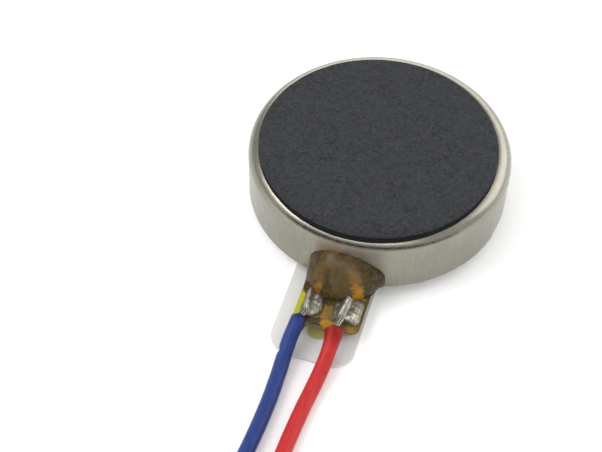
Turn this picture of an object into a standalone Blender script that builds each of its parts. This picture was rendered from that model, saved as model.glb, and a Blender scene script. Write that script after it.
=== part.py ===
"""A 10 mm vibration coin motor: a steel can with a foam pad, a tongue with a flex circuit, and two leads.

The constants are in millimetres. The origin is on the shaft's axis, at the underside of the release liner,
+Z points to the foam pad, and the tongue and the leads run along -Y.
"""

import math

import bmesh
import bpy
from mathutils import Vector

MM = 0.001

# Gap that two pieces keep where the real ones touch.
TOUCH = 0.02

# Layers under the can.
LINER_THICK = 0.10
TAPE_THICK = 0.08
TAPE_RADIUS = 4.15
TAPE_CHORD_Y = -4.0
LINER_RADIUS = 4.40
LINER_TAB_LEFT = -1.93
LINER_TAB_RIGHT = 1.24
LINER_TAB_END = -8.39
LINER_CORNER_LEFT = 0.90
LINER_CORNER_RIGHT = 0.70

# Base plate: a shallow pressed cup that stands proud of the cap's skirt.
BASE_THICK = 0.25
BASE_RADIUS = 4.64
BASE_FLAT_RADIUS = 4.25
BASE_LIP_HEIGHT = 0.58
BASE_PROUD = 0.30
SHAFT_HOLE_RADIUS = 0.42
SHAFT_DIMPLE_RADIUS = 0.58
SHAFT_DIMPLE_DEPTH = 0.08
TONGUE_HALF_WIDTH = 1.00
TONGUE_NECK_HALF_WIDTH = 0.66
TONGUE_END = -7.05
NOTCH_TOP = -4.45
NOTCH_HALF_WIDTH = 0.25
NECK_END = -5.15
FLARE_END = -5.85

# Cap: the drawn steel cup.
CAP_RADIUS = 5.00
CAP_WALL = 0.25
CAP_HEIGHT = 2.41
CAP_SHOULDER = 0.54
CAP_MOUTH_HALF_WIDTH = 1.12
CRIMP_SLOT_ANGLE = 83.0
CRIMP_SLOT_LENGTH = 1.30
CRIMP_SLOT_DEPTH = 0.16

# Foam pad on the cap.
FOAM_TAPE_THICK = 0.05
FOAM_TAPE_RADIUS = 4.38
FOAM_THICK = 0.26
FOAM_RADIUS = 4.50
FOAM_EDGE = 0.05
FOAM_Y = -0.35

# Flex circuit. Between the two lobes of its end runs an arch, which stops at an angle on the right.
FLEX_THICK = 0.08
FLEX_RING_RADIUS = 1.62
FLEX_HOLE_RADIUS = 0.86
FLEX_NECK_HALF_WIDTH = 1.00
FLEX_LEFT = -1.28
FLEX_RIGHT = 1.20
FLEX_END = -7.50
FLEX_END_RIGHT = -7.16
FLEX_CORNER_LEFT = 0.22
FLEX_CORNER_RIGHT = 0.30
FLEX_SHOULDER_Y = -5.02
FLEX_ARCH_X = -0.35
FLEX_ARCH_RADIUS = 0.40
FLEX_ARCH_END = 32.0

# Copper pads and solder, blue lead first: x, y, half width, half length, height of the blob.
PAD_THICK = 0.02
PAD_CORNER = 0.12
PADS = {"blue": (-0.71, -6.295, 0.37, 0.615), "red": (0.60, -6.22, 0.52, 0.62)}
SOLDER = {"blue": (-0.71, -6.34, 0.30, 0.51, 0.42), "red": (0.62, -6.25, 0.46, 0.54, 0.50)}

# Glue bead over the seam: how high it stands on the cap's wall from its left end to its right.
GLUE_LEFT = -1.30
GLUE_RIGHT = 1.56
GLUE_PEAK_X = -0.10
GLUE_FRONT_Y = -5.60
GLUE_EDGE_HEIGHT = 0.55
GLUE_PEAK_HEIGHT = 1.68

# Magnet and shaft.
MAGNET_INNER_RADIUS = 1.80
MAGNET_OUTER_RADIUS = 4.15
MAGNET_THICK = 0.83
MAGNET_GLUE_INNER_RADIUS = 1.90
MAGNET_GLUE_OUTER_RADIUS = 4.05
MAGNET_GLUE_SLOT = 1.12
SHAFT_RADIUS = 0.40
SHAFT_CHAMFER = 0.05
RUNNING_GAP = 0.03
WASHER_RADIUS = 0.80
WASHER_THICK = 0.08
BUSH_RADIUS = 0.72

# Rotor: a fan-shaped board with its heavy side on +Y.
BOARD_BOTTOM = 1.60
BOARD_THICK = 0.14
BOARD_HOLE_RADIUS = 0.75
BOARD_RING_RADIUS = 1.72
ROTOR_RADIUS = 4.20
HEAVY_SIDE = 90.0
BOARD_HALF_ANGLE = 105.0
SEGMENTS = 6
SEGMENT_INNER_RADIUS = 0.95
SEGMENT_OUTER_RADIUS = 1.60
SEGMENT_THICK = 0.03
SEGMENT_GAP_ANGLE = 7.0
RESIN_THICK = 0.60
RESIN_HALF_ANGLE = 102.0
RESIN_RING_RADIUS = 1.30
COIL_ANGLE = 62.0
COIL_CENTRE_RADIUS = 2.80
COIL_RADIUS = 1.15
COIL_HOLE_RADIUS = 0.40
COIL_EDGE = 0.08
WEIGHT_HALF_ANGLE = 23.0
WEIGHT_POCKET_HALF_ANGLE = 24.4
WEIGHT_INNER_RADIUS = 1.55
WEIGHT_THICK = 0.72

# Brushes: a leaf bent from a foot on the flex circuit up to the commutator.
BRUSH_X = 0.95
BRUSH_WIDTH = 0.28
BRUSH_THICK = 0.05
BRUSH_FOOT_START = -1.05
BRUSH_FOOT_END = -0.45
BRUSH_CONTACT_Y = 0.95
BRUSH_TIP_Y = 1.10
BRUSH_TIP_DROP = 0.07

# Leads: axis points from the flex circuit to the stripped end.
LEAD_RADIUS = 0.275
LEAD_PITCH = 1.1
TIP_RADIUS = 0.11
TIP_LENGTH = 1.50
TIP_DROP = 0.14
LEAD_ROUTES = {
    "blue": [
        (-0.96, -7.16, 0.87),
        (-0.98, -7.50, 0.84),
        (-1.05, -8.07, 0.64),
        (-1.06, -8.75, 0.42),
        (-1.05, -9.50, 0.31),
        (-1.04, -10.50, 0.285),
        (-1.10, -12.00, 0.285),
        (-1.24, -13.60, 0.285),
        (-1.42, -15.20, 0.285),
        (-1.60, -16.80, 0.285),
        (-1.72, -18.30, 0.285),
        (-1.78, -19.60, 0.285),
    ],
    "red": [
        (0.38, -7.28, 0.87),
        (0.42, -7.75, 0.79),
        (0.38, -8.55, 0.50),
        (0.27, -9.50, 0.31),
        (0.15, -10.60, 0.285),
        (0.05, -12.10, 0.285),
        (0.02, -13.60, 0.285),
        (0.08, -15.20, 0.285),
        (0.22, -16.80, 0.285),
        (0.40, -18.20, 0.285),
        (0.56, -19.30, 0.285),
    ],
}

# Heights that follow from the layers.
TAPE_BOTTOM = LINER_THICK + TOUCH
BASE_BOTTOM = TAPE_BOTTOM + TAPE_THICK + TOUCH
BASE_TOP = BASE_BOTTOM + BASE_THICK
SKIRT_BOTTOM = BASE_BOTTOM + BASE_PROUD
CAP_TOP = SKIRT_BOTTOM + CAP_HEIGHT
CAP_CEILING = CAP_TOP - CAP_WALL
FOAM_TAPE_BOTTOM = CAP_TOP + TOUCH
FOAM_BOTTOM = FOAM_TAPE_BOTTOM + FOAM_TAPE_THICK + TOUCH
FOAM_TOP = FOAM_BOTTOM + FOAM_THICK
FLEX_BOTTOM = BASE_TOP + TOUCH
FLEX_TOP = FLEX_BOTTOM + FLEX_THICK
PAD_BOTTOM = FLEX_TOP + TOUCH
SOLDER_BOTTOM = PAD_BOTTOM + PAD_THICK + TOUCH
GLUE_BOTTOM = FLEX_TOP + 0.03
MAGNET_BOTTOM = FLEX_TOP + TOUCH
BUSH_BOTTOM = FLEX_BOTTOM + WASHER_THICK + RUNNING_GAP
UPPER_WASHER_BOTTOM = CAP_CEILING - WASHER_THICK - 0.05
BUSH_TOP = UPPER_WASHER_BOTTOM - RUNNING_GAP
BOARD_TOP = BOARD_BOTTOM + BOARD_THICK
COIL_BOTTOM = BOARD_TOP + TOUCH
SEGMENT_BOTTOM = BOARD_BOTTOM - TOUCH - SEGMENT_THICK

COLOURS = {
    "steel": ((0.56, 0.55, 0.50), 0.32, 1.0),
    "bright_steel": ((0.70, 0.69, 0.67), 0.25, 1.0),
    "foam": ((0.066, 0.070, 0.076), 0.95, 0.0),
    "tape": ((0.75, 0.75, 0.72), 0.40, 0.0),
    "liner": ((0.82, 0.82, 0.81), 0.45, 0.0),
    "polyimide": ((0.55, 0.30, 0.04), 0.30, 0.0),
    "copper": ((0.72, 0.38, 0.20), 0.30, 1.0),
    "solder": ((0.62, 0.62, 0.62), 0.22, 1.0),
    "glue": ((0.17, 0.10, 0.03), 0.15, 0.0),
    "blue": ((0.035, 0.065, 0.28), 0.45, 0.0),
    "red": ((0.60, 0.035, 0.035), 0.45, 0.0),
    "magnet": ((0.20, 0.20, 0.21), 0.45, 1.0),
    "board": ((0.02, 0.12, 0.05), 0.45, 0.0),
    "tungsten": ((0.30, 0.30, 0.31), 0.40, 1.0),
    "resin": ((0.03, 0.03, 0.035), 0.50, 0.0),
    "bronze": ((0.50, 0.33, 0.14), 0.45, 1.0),
    "washer": ((0.85, 0.83, 0.76), 0.45, 0.0),
}


def clear_scene():
    for obj in list(bpy.data.objects):
        bpy.data.objects.remove(obj, do_unlink=True)


def material(slot, name):
    """A material of its own for the object called name, with the colour of its slot."""
    colour, roughness, metallic = COLOURS[slot]
    made = bpy.data.materials.new(name)
    made.use_nodes = True
    shader = made.node_tree.nodes["Principled BSDF"]
    shader.inputs["Base Color"].default_value = (*colour, 1.0)
    shader.inputs["Roughness"].default_value = roughness
    shader.inputs["Metallic"].default_value = metallic
    return made


def mesh_object(name, bm, slot, centre=(0.0, 0.0, 0.0)):
    """An object of the bmesh, whose points are in millimetres about centre."""
    bmesh.ops.recalc_face_normals(bm, faces=bm.faces)
    bmesh.ops.scale(bm, vec=(MM, MM, MM), verts=bm.verts)
    mesh = bpy.data.meshes.new(name)
    bm.to_mesh(mesh)
    bm.free()
    mesh.shade_smooth()
    mesh.set_sharp_from_angle(angle=math.radians(35))
    obj = bpy.data.objects.new(name, mesh)
    obj.location = Vector(centre) * MM
    bpy.context.scene.collection.objects.link(obj)
    if slot:
        mesh.materials.append(material(slot, name))
    return obj


def arc(x, y, radius, start, end, steps):
    """Points on an arc, from start to end in degrees."""
    angles = [math.radians(start + (end - start) * i / steps) for i in range(steps + 1)]
    return [(x + radius * math.cos(a), y + radius * math.sin(a)) for a in angles]


def circle(radius, steps, x=0.0, y=0.0):
    return arc(x, y, radius, 0, 360, steps)[:-1]


def turned(name, profile, slot, steps=48, centre=(0.0, 0.0, 0.0)):
    """A solid of revolution. The profile lists (radius, height): a loop, or a line from axis to axis."""
    bm = bmesh.new()
    corners = [bm.verts.new((r, 0.0, z)) for r, z in profile]
    edges = [bm.edges.new(pair) for pair in zip(corners, corners[1:])]
    if profile[0][0] > 0:
        edges.append(bm.edges.new((corners[-1], corners[0])))
    bmesh.ops.spin(
        bm,
        geom=corners + edges,
        cent=(0, 0, 0),
        axis=(0, 0, 1),
        angle=2 * math.pi,
        steps=steps,
        use_merge=True,
    )
    bmesh.ops.remove_doubles(bm, verts=bm.verts, dist=1e-4)
    return mesh_object(name, bm, slot, centre)


def ring(name, inner, outer, bottom, top, slot, steps=48, edge=0.0, centre=(0.0, 0.0, 0.0)):
    """A turned ring with an optional chamfer on its outer edges."""
    profile = [(inner, top), (outer - edge, top), (outer, top - edge), (outer, bottom + edge)]
    profile += [(outer - edge, bottom), (inner, bottom)]
    if not edge:
        profile = [(inner, top), (outer, top), (outer, bottom), (inner, bottom)]
    return turned(name, profile, slot, steps, centre)


def plate(name, loops, bottom, top, slot):
    """A flat plate from bottom to top. The first loop is its outline and the others are holes."""
    bm = bmesh.new()
    edges = []
    for loop in loops:
        corners = [bm.verts.new((x, y, bottom)) for x, y in loop]
        edges += [bm.edges.new((a, b)) for a, b in zip(corners, corners[1:] + corners[:1])]
    bmesh.ops.triangle_fill(bm, use_beauty=True, use_dissolve=False, edges=edges)
    raised = bmesh.ops.extrude_face_region(bm, geom=bm.faces[:])["geom"]
    moved = [item for item in raised if isinstance(item, bmesh.types.BMVert)]
    bmesh.ops.translate(bm, vec=(0, 0, top - bottom), verts=moved)
    return mesh_object(name, bm, slot)


def combine(obj, other, operation):
    """A Boolean of obj with other, which becomes a hidden helper."""
    other.hide_render = True
    other.display_type = "WIRE"
    modifier = obj.modifiers.new(other.name, "BOOLEAN")
    modifier.operation = operation
    modifier.solver = "EXACT"
    modifier.object = other


def cap_shell():
    """Drawn cup with a round shoulder, a mouth for the flex circuit and two crimp slots in its rim."""
    flat = CAP_RADIUS - CAP_SHOULDER
    centre = CAP_TOP - CAP_SHOULDER
    outer = arc(flat, centre, CAP_SHOULDER, 90, 0, 6)
    inner = arc(flat, centre, CAP_SHOULDER - CAP_WALL, 0, 90, 4)
    rim = [(CAP_RADIUS, SKIRT_BOTTOM), (CAP_RADIUS - CAP_WALL, SKIRT_BOTTOM)]
    profile = [(0.0, CAP_TOP), *outer, *rim, *inner, (0.0, CAP_CEILING)]
    cap = turned("cap_shell", profile, "steel", steps=64)
    half = CAP_MOUTH_HALF_WIDTH
    mouth = [(-half, -CAP_RADIUS - 1), (half, -CAP_RADIUS - 1), (half, -3.5), (-half, -3.5)]
    combine(cap, plate("mouth_cutter", [mouth], SKIRT_BOTTOM - 0.5, FLEX_TOP + 0.04, None), "DIFFERENCE")
    for side, name in ((-1, "left"), (1, "right")):
        half = CRIMP_SLOT_LENGTH / 2
        slot = [(-half, -CAP_RADIUS - 1), (half, -CAP_RADIUS - 1), (half, -4.2), (-half, -4.2)]
        top = SKIRT_BOTTOM + CRIMP_SLOT_DEPTH
        cutter = plate(name + "_slot_cutter", [slot], SKIRT_BOTTOM - 0.5, top, None)
        cutter.rotation_euler.z = math.radians(side * CRIMP_SLOT_ANGLE)
        combine(cap, cutter, "DIFFERENCE")


def relief_notch(side):
    """Outline of the notch beside the tongue's neck, which runs out along the tongue's flare."""
    inner = TONGUE_NECK_HALF_WIDTH
    middle = inner + NOTCH_HALF_WIDTH
    outer = middle + NOTCH_HALF_WIDTH
    shoulder = NOTCH_TOP - NOTCH_HALF_WIDTH
    points = arc(middle, shoulder, NOTCH_HALF_WIDTH, 0, 180, 8)
    steps = 6
    for i in range(steps + 1):
        part = i / steps
        spread = (TONGUE_HALF_WIDTH - inner) * (1 - math.cos(math.pi * part)) / 2
        points.append((inner + spread, NECK_END + (FLARE_END - NECK_END) * part))
    points += [(TONGUE_HALF_WIDTH + 0.1, FLARE_END - 0.02), (outer + 0.3, FLARE_END), (outer, NECK_END)]
    return [(side * x, y) for x, y in points]


def base_plate():
    """Pressed cup with an upturned lip, joined to the tongue, with a dimple round the shaft's hole."""
    rise = BASE_RADIUS - BASE_FLAT_RADIUS
    lip = BASE_BOTTOM + BASE_LIP_HEIGHT
    bend = rise - (BASE_THICK - 0.03)
    outer = arc(BASE_FLAT_RADIUS, BASE_BOTTOM + rise, rise, -90, 0, 5)
    inner = arc(BASE_FLAT_RADIUS, BASE_TOP + bend, bend, 0, -90, 3)
    profile = [(SHAFT_HOLE_RADIUS, BASE_TOP), (SHAFT_HOLE_RADIUS, BASE_BOTTOM + SHAFT_DIMPLE_DEPTH)]
    profile += [(SHAFT_DIMPLE_RADIUS, BASE_BOTTOM), *outer, (BASE_RADIUS, lip)]
    profile += [(BASE_FLAT_RADIUS + bend, lip), *inner]
    base = turned("base_plate", profile, "steel", steps=64)
    half = TONGUE_HALF_WIDTH
    corner = 0.10
    tongue = [(half, -4.1), (-half, -4.1), (-half, TONGUE_END + corner), (-half + corner, TONGUE_END)]
    tongue += [(half - corner, TONGUE_END), (half, TONGUE_END + corner)]
    combine(base, plate("tongue_blank", [tongue], BASE_BOTTOM, BASE_TOP, None), "UNION")
    gate = TONGUE_NECK_HALF_WIDTH + 2 * NOTCH_HALF_WIDTH
    opening = [(-gate, -3.9), (-gate, -5.2), (gate, -5.2), (gate, -3.9)]
    combine(base, plate("lip_cutter", [opening], BASE_TOP, lip + 0.2, None), "DIFFERENCE")
    for side, name in ((-1, "left"), (1, "right")):
        outline = relief_notch(side)
        cutter = plate(name + "_notch_cutter", [outline], BASE_BOTTOM - 0.3, lip + 0.3, None)
        combine(base, cutter, "DIFFERENCE")


def disc_with_chord(radius, chord_y, steps):
    """Outline of a disc that is cut straight along y = chord_y."""
    start = math.degrees(math.asin(chord_y / radius))
    return arc(0, 0, radius, start, 180 - start, steps)


def release_liner():
    """Disc with a pull tab whose outer corners are round."""
    start = -90 + math.degrees(math.asin(LINER_TAB_RIGHT / LINER_RADIUS))
    end = 270 + math.degrees(math.asin(LINER_TAB_LEFT / LINER_RADIUS))
    left, right = LINER_CORNER_LEFT, LINER_CORNER_RIGHT
    outline = arc(0, 0, LINER_RADIUS, start, end, 44)
    outline += arc(LINER_TAB_LEFT + left, LINER_TAB_END + left, left, 180, 270, 6)
    outline += arc(LINER_TAB_RIGHT - right, LINER_TAB_END + right, right, -90, 0, 6)
    plate("release_liner", [outline], 0.0, LINER_THICK, "liner")


def foam_pad():
    low, high = FOAM_BOTTOM, FOAM_TOP
    profile = [(0.0, high), (FOAM_RADIUS - FOAM_EDGE, high), (FOAM_RADIUS, high - FOAM_EDGE)]
    profile += [(FOAM_RADIUS, low), (0.0, low)]
    turned("foam_pad", profile, "foam", steps=56, centre=(0.0, FOAM_Y, 0.0))


def flex_circuit():
    """Inner ring for the brushes, a neck under the magnet, and the outer strip with its lobed end."""
    open_angle = math.degrees(math.asin(FLEX_NECK_HALF_WIDTH / FLEX_RING_RADIUS))
    neck = FLEX_NECK_HALF_WIDTH
    left, right = FLEX_CORNER_LEFT, FLEX_CORNER_RIGHT
    outline = arc(0, 0, FLEX_RING_RADIUS, -90 + open_angle, 270 - open_angle, 24)
    outline += [(-neck, FLEX_SHOULDER_Y), (FLEX_LEFT, FLEX_SHOULDER_Y - 0.25)]
    outline += arc(FLEX_LEFT + left, FLEX_END + left, left, 180, 270, 3)
    outline += arc(FLEX_ARCH_X, FLEX_END, FLEX_ARCH_RADIUS, 180, FLEX_ARCH_END, 7)
    outline += arc(FLEX_RIGHT - right, FLEX_END_RIGHT + right, right, -90, 0, 5)
    outline += [(FLEX_RIGHT, FLEX_SHOULDER_Y - 0.25), (neck, FLEX_SHOULDER_Y)]
    hole = circle(FLEX_HOLE_RADIUS, 24)
    plate("flex_circuit", [outline, hole], FLEX_BOTTOM, FLEX_TOP, "polyimide")


def rounded_rectangle(x, y, half_width, half_length, corner):
    points = []
    for sx, sy, start in ((1, 1, 0), (-1, 1, 90), (-1, -1, 180), (1, -1, 270)):
        corner_x = x + sx * (half_width - corner)
        corner_y = y + sy * (half_length - corner)
        points += arc(corner_x, corner_y, corner, start, start + 90, 3)
    return points


def dome(name, centre, half_width, half_length, height, slot):
    """A flat-bottomed blob with an elliptic foot."""
    bm = bmesh.new()
    steps, levels = 20, 5
    rows = []
    for level in range(levels):
        lift = math.radians(90 * level / levels)
        spread = math.cos(lift) ** 0.7
        row = []
        for i in range(steps):
            turn = 2 * math.pi * i / steps
            x = half_width * spread * math.cos(turn)
            y = half_length * spread * math.sin(turn)
            row.append(bm.verts.new((x, y, height * math.sin(lift))))
        rows.append(row)
    top = bm.verts.new((0, 0, height))
    for low, high in zip(rows, rows[1:]):
        for i in range(steps):
            j = (i + 1) % steps
            bm.faces.new((low[i], low[j], high[j], high[i]))
    for i in range(steps):
        bm.faces.new((rows[-1][i], rows[-1][(i + 1) % steps], top))
    bm.faces.new(rows[0][::-1])
    return mesh_object(name, bm, slot, centre)


def pads_and_solder():
    for side, (x, y, half_width, half_length) in PADS.items():
        outline = rounded_rectangle(x, y, half_width, half_length, PAD_CORNER)
        plate("solder_pad_" + side, [outline], PAD_BOTTOM, PAD_BOTTOM + PAD_THICK, "copper")
    for side, (x, y, half_width, half_length, height) in SOLDER.items():
        foot = (x, y, SOLDER_BOTTOM)
        dome("solder_joint_" + side, foot, half_width, half_length, height, "solder")


def glue_height(x, along):
    """Height of the glue above its foot: along is 0 at the cap's wall and 1 at the front."""
    reach = (GLUE_RIGHT if x > GLUE_PEAK_X else GLUE_LEFT) - GLUE_PEAK_X
    off = min(1.0, (x - GLUE_PEAK_X) / reach)
    crest = GLUE_EDGE_HEIGHT + (GLUE_PEAK_HEIGHT - GLUE_EDGE_HEIGHT) * math.sqrt(1 - off**2)
    return 0.05 + crest * math.cos(math.pi / 2 * along) ** 0.8


def glue_bead():
    """A dome that leans on the cap's wall and runs down onto the flex circuit."""
    across, out = 14, 6
    wall = CAP_RADIUS + 0.03
    bm = bmesh.new()
    tops, feet = [], []
    for i in range(across + 1):
        x = GLUE_LEFT + (GLUE_RIGHT - GLUE_LEFT) * i / across
        back = -math.sqrt(wall**2 - x**2)
        squeeze = 1 - 0.35 * abs(2 * i / across - 1) ** 4
        front = back + (GLUE_FRONT_Y - back) * squeeze
        ys = [back + (front - back) * j / out for j in range(out + 1)]
        heights = [glue_height(x, j / out) for j in range(out + 1)]
        tops.append([bm.verts.new((x, y, GLUE_BOTTOM + h)) for y, h in zip(ys, heights)])
        feet.append([bm.verts.new((x, y, GLUE_BOTTOM)) for y in ys])
    for i in range(across):
        for j in range(out):
            bm.faces.new((tops[i][j], tops[i + 1][j], tops[i + 1][j + 1], tops[i][j + 1]))
            bm.faces.new((feet[i][j], feet[i][j + 1], feet[i + 1][j + 1], feet[i + 1][j]))
        for j in (0, out):
            bm.faces.new((tops[i][j], feet[i][j], feet[i + 1][j], tops[i + 1][j]))
    for i in (0, across):
        for j in range(out):
            bm.faces.new((tops[i][j], tops[i][j + 1], feet[i][j + 1], feet[i][j]))
    mesh_object("glue_bead", bm, "glue")


def magnet_and_glue():
    top = MAGNET_BOTTOM + MAGNET_THICK
    inner, outer = MAGNET_INNER_RADIUS, MAGNET_OUTER_RADIUS
    ring("ring_magnet", inner, outer, MAGNET_BOTTOM, top, "magnet", steps=48, edge=0.06)
    wide = math.degrees(math.asin(MAGNET_GLUE_SLOT / MAGNET_GLUE_INNER_RADIUS))
    narrow = math.degrees(math.asin(MAGNET_GLUE_SLOT / MAGNET_GLUE_OUTER_RADIUS))
    outline = arc(0, 0, MAGNET_GLUE_OUTER_RADIUS, -90 + narrow, 270 - narrow, 40)
    outline += arc(0, 0, MAGNET_GLUE_INNER_RADIUS, 270 - wide, -90 + wide, 24)
    plate("magnet_adhesive", [outline], FLEX_BOTTOM, FLEX_TOP, "glue")


def shaft_and_washers():
    low, high = BASE_BOTTOM + 0.03, CAP_CEILING - TOUCH
    radius, chamfer = SHAFT_RADIUS, SHAFT_CHAMFER
    profile = [(0.0, high), (radius - chamfer, high), (radius, high - chamfer)]
    profile += [(radius, low + chamfer), (radius - chamfer, low), (0.0, low)]
    turned("shaft", profile, "bright_steel", steps=32)
    inner = SHAFT_RADIUS + RUNNING_GAP
    for name, low in (("lower_washer", FLEX_BOTTOM), ("upper_washer", UPPER_WASHER_BOTTOM)):
        ring(name, inner, WASHER_RADIUS, low, low + WASHER_THICK, "washer", steps=32)


def brush(name, side):
    """A leaf: a foot on the flex circuit, an arm that rises to the commutator, and a tip that turns down."""
    foot = FLEX_TOP + TOUCH
    contact = SEGMENT_BOTTOM - TOUCH
    line = [(BRUSH_FOOT_START, foot + BRUSH_THICK), (BRUSH_FOOT_END, foot + BRUSH_THICK)]
    line += [(BRUSH_FOOT_END + 0.10, foot + BRUSH_THICK + 0.05)]
    line += [(BRUSH_CONTACT_Y - 0.06, contact - 0.01), (BRUSH_CONTACT_Y, contact)]
    line += [(BRUSH_TIP_Y, contact - BRUSH_TIP_DROP)]
    under = [(y, z - BRUSH_THICK) for y, z in reversed(line)]
    bm = bmesh.new()
    near = side * (BRUSH_X - BRUSH_WIDTH / 2)
    face = bm.faces.new([bm.verts.new((near, y, z)) for y, z in line + under])
    raised = bmesh.ops.extrude_face_region(bm, geom=[face])["geom"]
    moved = [item for item in raised if isinstance(item, bmesh.types.BMVert)]
    bmesh.ops.translate(bm, vec=(side * BRUSH_WIDTH, 0, 0), verts=moved)
    mesh_object(name, bm, "copper")


def sector(inner, outer, start, end, steps):
    """Outline of a piece of a ring, between two angles."""
    return arc(0, 0, outer, start, end, steps) + arc(0, 0, inner, end, start, max(3, steps // 2))


def fan(half_angle, ring_radius, steps):
    """Outline of a fan of the rotor's radius about the heavy side, closed by a ring behind."""
    start, end = HEAVY_SIDE - half_angle, HEAVY_SIDE + half_angle
    behind = arc(0, 0, ring_radius, end, start + 360, 12)
    return arc(0, 0, ROTOR_RADIUS, start, end, steps) + behind


def rotor():
    """The pieces that turn, all children of an empty on the shaft's axis."""
    hole = circle(BOARD_HOLE_RADIUS, 28)
    outline = fan(BOARD_HALF_ANGLE, BOARD_RING_RADIUS, 36)
    pieces = [plate("rotor_board", [outline, hole], BOARD_BOTTOM, BOARD_TOP, "board")]
    pitch = 360 / SEGMENTS
    for i in range(SEGMENTS):
        start = i * pitch + SEGMENT_GAP_ANGLE / 2
        end = start + pitch - SEGMENT_GAP_ANGLE
        outline = sector(SEGMENT_INNER_RADIUS, SEGMENT_OUTER_RADIUS, start, end, 6)
        name = f"commutator_segment_{i + 1}"
        pieces.append(plate(name, [outline], SEGMENT_BOTTOM, SEGMENT_BOTTOM + SEGMENT_THICK, "copper"))
    pieces += coils()
    start, end = HEAVY_SIDE - WEIGHT_HALF_ANGLE, HEAVY_SIDE + WEIGHT_HALF_ANGLE
    outline = sector(WEIGHT_INNER_RADIUS, ROTOR_RADIUS, start, end, 10)
    top = COIL_BOTTOM + WEIGHT_THICK
    pieces.append(plate("counterweight", [outline], COIL_BOTTOM, top, "tungsten"))
    pieces.append(rotor_resin())
    inner = SHAFT_RADIUS + RUNNING_GAP
    bush = ring("bearing_bush", inner, BUSH_RADIUS, BUSH_BOTTOM, BUSH_TOP, "bronze", steps=32, edge=0.04)
    pieces.append(bush)
    axle = bpy.data.objects.new("rotor_axis", None)
    bpy.context.scene.collection.objects.link(axle)
    for piece in pieces:
        piece.parent = axle


def coil_centre(side):
    angle = math.radians(HEAVY_SIDE - side * COIL_ANGLE)
    return COIL_CENTRE_RADIUS * math.cos(angle), COIL_CENTRE_RADIUS * math.sin(angle)


def coils():
    made = []
    top = COIL_BOTTOM + RESIN_THICK
    for name, side in (("coil_right", 1), ("coil_left", -1)):
        centre = (*coil_centre(side), 0.0)
        coil = ring(name, COIL_HOLE_RADIUS, COIL_RADIUS, COIL_BOTTOM, top, "copper", 32, COIL_EDGE, centre)
        made.append(coil)
    return made


def rotor_resin():
    """Moulding with a round pocket for each coil and an open pocket for the weight."""
    start, end = HEAVY_SIDE - RESIN_HALF_ANGLE, HEAVY_SIDE + RESIN_HALF_ANGLE
    pocket_start = HEAVY_SIDE - WEIGHT_POCKET_HALF_ANGLE
    pocket_end = HEAVY_SIDE + WEIGHT_POCKET_HALF_ANGLE
    outline = arc(0, 0, ROTOR_RADIUS, start, pocket_start, 16)
    outline += arc(0, 0, WEIGHT_INNER_RADIUS - 0.04, pocket_start, pocket_end, 6)
    outline += arc(0, 0, ROTOR_RADIUS, pocket_end, end, 16)
    outline += arc(0, 0, RESIN_RING_RADIUS, end, start + 360, 12)
    holes = [circle(BOARD_HOLE_RADIUS, 28)]
    holes += [circle(COIL_RADIUS + 0.04, 32, *coil_centre(side)) for side in (1, -1)]
    return plate("rotor_resin", [outline, *holes], COIL_BOTTOM, COIL_BOTTOM + RESIN_THICK, "resin")


def smooth_route(route, pitch):
    """Points about a pitch apart on a Catmull-Rom curve through the route's points."""
    points = [Vector(p) for p in route]
    ends = [2 * points[0] - points[1], *points, 2 * points[-1] - points[-2]]
    fine = []
    for before, start, end, after in zip(ends, ends[1:], ends[2:], ends[3:]):
        for i in range(16):
            t = i / 16
            bend = 2 * before - 5 * start + 4 * end - after
            turn = 3 * start - before - 3 * end + after
            fine.append(start + 0.5 * ((end - before) * t + bend * t**2 + turn * t**3))
    fine.append(points[-1])
    total = sum((b - a).length for a, b in zip(fine, fine[1:]))
    count = round(total / pitch)
    chosen, walked = [fine[0]], 0.0
    for a, b in zip(fine, fine[1:]):
        walked += (b - a).length
        if walked >= total * len(chosen) / count and len(chosen) < count:
            chosen.append(b)
    return [*chosen, fine[-1]]


def wire(name, points, radius, slot):
    curve = bpy.data.curves.new(name, "CURVE")
    curve.dimensions = "3D"
    curve.bevel_depth = radius * MM
    curve.bevel_resolution = 2
    curve.use_fill_caps = True
    spline = curve.splines.new("POLY")
    spline.points.add(len(points) - 1)
    for knot, point in zip(spline.points, points):
        knot.co = (*(Vector(point) * MM), 1.0)
    curve.materials.append(material(slot, name))
    bpy.context.scene.collection.objects.link(bpy.data.objects.new(name, curve))


def leads():
    for side, route in LEAD_ROUTES.items():
        points = smooth_route(route, LEAD_PITCH)
        wire("lead_" + side, points, LEAD_RADIUS, side)
        way = (points[-1] - points[-2]).normalized()
        start = points[-1] + way * 0.03
        end = start + way * TIP_LENGTH - Vector((0, 0, TIP_DROP))
        wire("lead_" + side + "_tip", [start, (start + end) / 2, end], TIP_RADIUS, "solder")


def main():
    clear_scene()
    release_liner()
    tape = disc_with_chord(TAPE_RADIUS, TAPE_CHORD_Y, 40)
    plate("base_adhesive", [tape], TAPE_BOTTOM, TAPE_BOTTOM + TAPE_THICK, "tape")
    base_plate()
    cap_shell()
    top = FOAM_TAPE_BOTTOM + FOAM_TAPE_THICK
    plate("foam_adhesive", [circle(FOAM_TAPE_RADIUS, 48, 0, FOAM_Y)], FOAM_TAPE_BOTTOM, top, "tape")
    foam_pad()
    flex_circuit()
    pads_and_solder()
    glue_bead()
    magnet_and_glue()
    shaft_and_washers()
    brush("brush_left", -1)
    brush("brush_right", 1)
    rotor()
    leads()


main()
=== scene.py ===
"""The looks of the vibration coin motor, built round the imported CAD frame."""
import math

import bmesh
import bpy
from mathutils import Matrix, Vector, noise


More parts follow.
